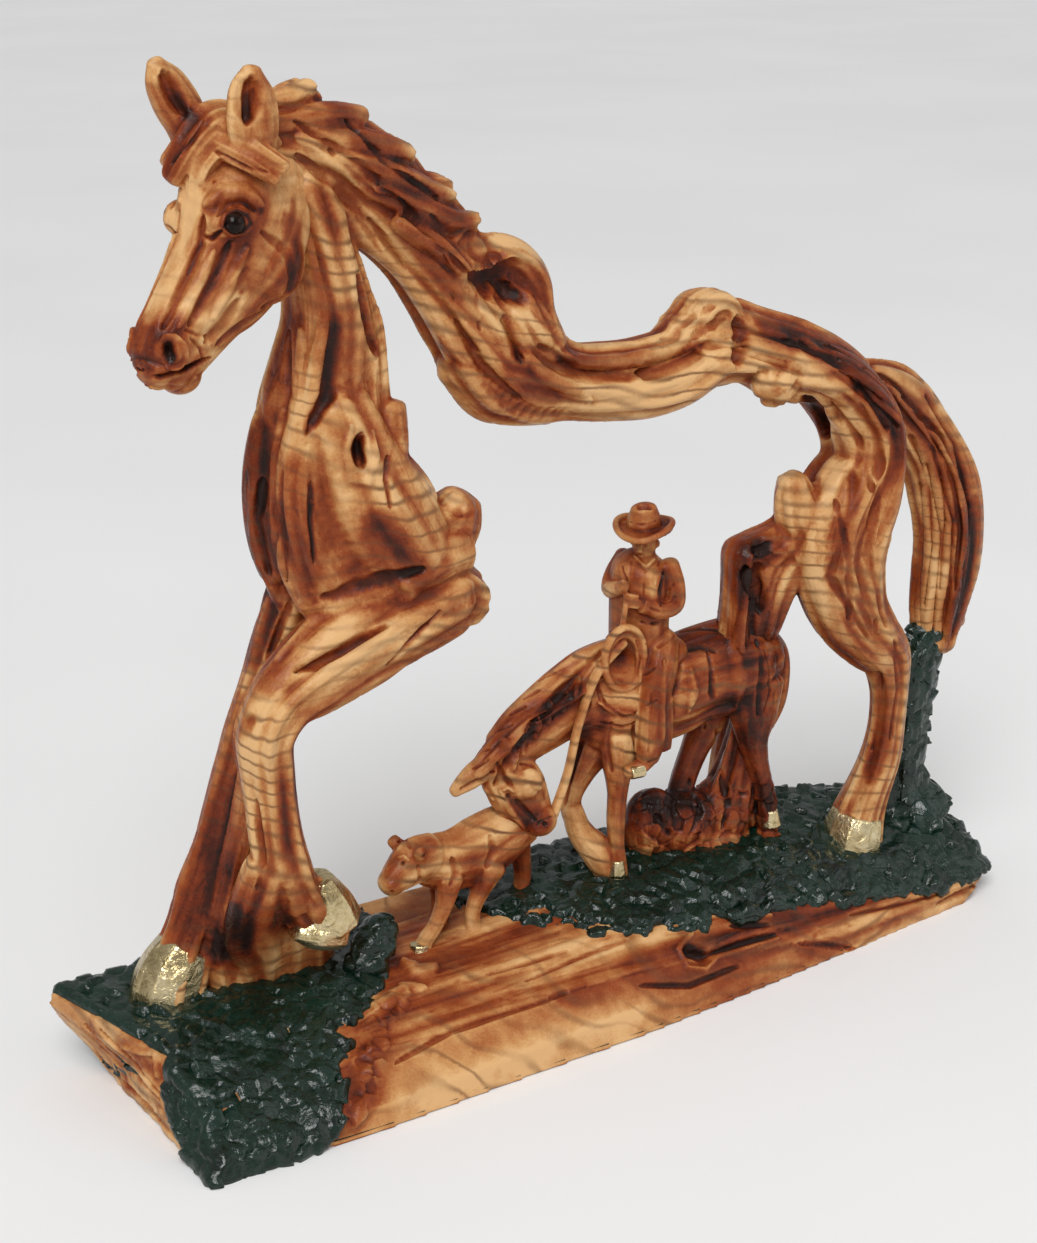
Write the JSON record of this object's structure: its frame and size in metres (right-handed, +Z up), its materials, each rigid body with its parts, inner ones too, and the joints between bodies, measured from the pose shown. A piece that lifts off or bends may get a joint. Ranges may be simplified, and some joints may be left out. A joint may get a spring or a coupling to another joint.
{
  "type": "cast resin sculpture of a driftwood-look horse over a cowboy cutting a calf",
  "caption": "Table sculpture cast as one piece: a hollow, striding driftwood-look horse frames a cowboy on a cutting horse and a calf, on a split log with turf.",
  "frame": {"origin": "middle of the footprint's box, on the sawn underside that the sculpture stands on", "axes": "+Z up; X along the log, with the tall horse facing -X; its left side faces -Y"},
  "size_m": [0.3223, 0.0852, 0.2919],
  "materials": {
    "wood_look_resin": "cold-cast resin painted as grained tan wood with red-brown stain, under a satin varnish",
    "turf_paint": "very dark green, glossy, crumpled turf",
    "hoof_gilding": "gold leaf paint, slightly wrinkled",
    "glass_eye": "glossy near-black eye with a brown rim"
  },
  "bodies": {
    "root": {"cast_sculpture": "wood_look_resin"}
  },
  "joints": []
}
